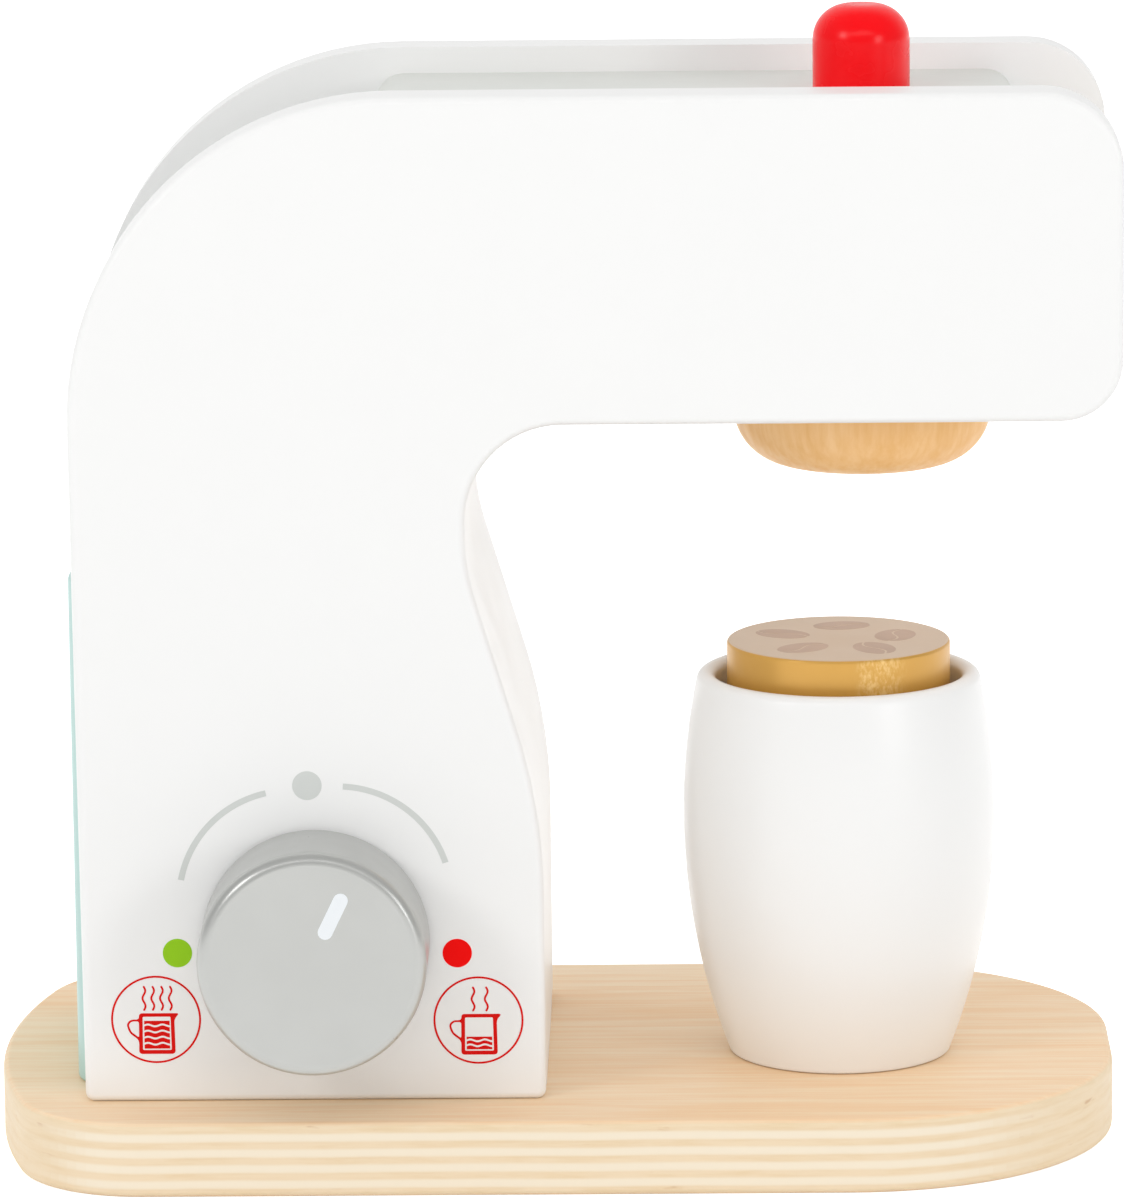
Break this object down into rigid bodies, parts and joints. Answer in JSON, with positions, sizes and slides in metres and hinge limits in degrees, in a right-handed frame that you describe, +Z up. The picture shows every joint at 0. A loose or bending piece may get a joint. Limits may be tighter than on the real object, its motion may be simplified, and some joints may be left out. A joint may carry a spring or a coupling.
{
  "type": "toy coffee maker",
  "caption": "Wooden toy coffee maker with an arm over an oval base, a push button, a turning knob, a cup and a coffee pod.",
  "frame": {"origin": "middle of the base board's underside", "axes": "+X along the arm to its nose, +Y away from the side with the knob, +Z up"},
  "size_m": [0.24, 0.1413, 0.2426],
  "materials": {
    "white_paint": "white paint, satin",
    "silver_paint": "silver-grey paint, satin",
    "red_paint": "red paint, gloss",
    "blue_paint": "light-blue paint, satin",
    "birch_plywood": "clear lacquer, satin",
    "bare_wood": "bare, sanded",
    "spout_wood": "clear lacquer, satin",
    "gold_paint": "gold-brown paint, satin",
    "steel": "zinc plated",
    "felt": "pressed felt"
  },
  "bodies": {
    "machine": {"base_board": "birch_plywood", "base_screws": "steel", "near_panel": "white_paint", "far_panel": "white_paint", "column_front": "white_paint", "water_tank": "blue_paint", "top_board": "silver_paint", "arm_floor": "white_paint", "button_housing": "bare_wood", "panel_dowels": "bare_wood", "button_spring": "steel", "spout": "spout_wood", "spout_screw": "steel"},
    "button": {"button_cap": "red_paint", "stop_washer": "steel", "stop_screw": "steel"},
    "knob": {"knob": "silver_paint", "knob_axle": "steel", "knob_glide": "felt", "axle_washer": "steel", "lock_nut": "steel"},
    "cup": {"cup": "white_paint"},
    "pod": {"coffee_pod": "gold_paint"}
  },
  "joints": [
    {"name": "button_press", "type": "slide", "parent": "machine", "child": "button", "axis": [0, 0, -1], "range_m": [0, 0.008], "stiffness_N_per_m": 300, "springref_m": -0.008, "deforming": ["button_spring"]},
    {"name": "knob_turn", "type": "hinge", "parent": "machine", "child": "knob", "pos_m": [-0.0497, -0.05, 0.0511], "axis": [0, 1, 0], "range_deg": [-115, 65]},
    {"name": "cup_lift", "type": "slide", "parent": "machine", "child": "cup", "axis": [0, 0, 1], "range_m": [0, 0.018]},
    {"name": "pod_lift", "type": "slide", "parent": "cup", "child": "pod", "axis": [0, 0, 1], "range_m": [0, 0.018]}
  ]
}
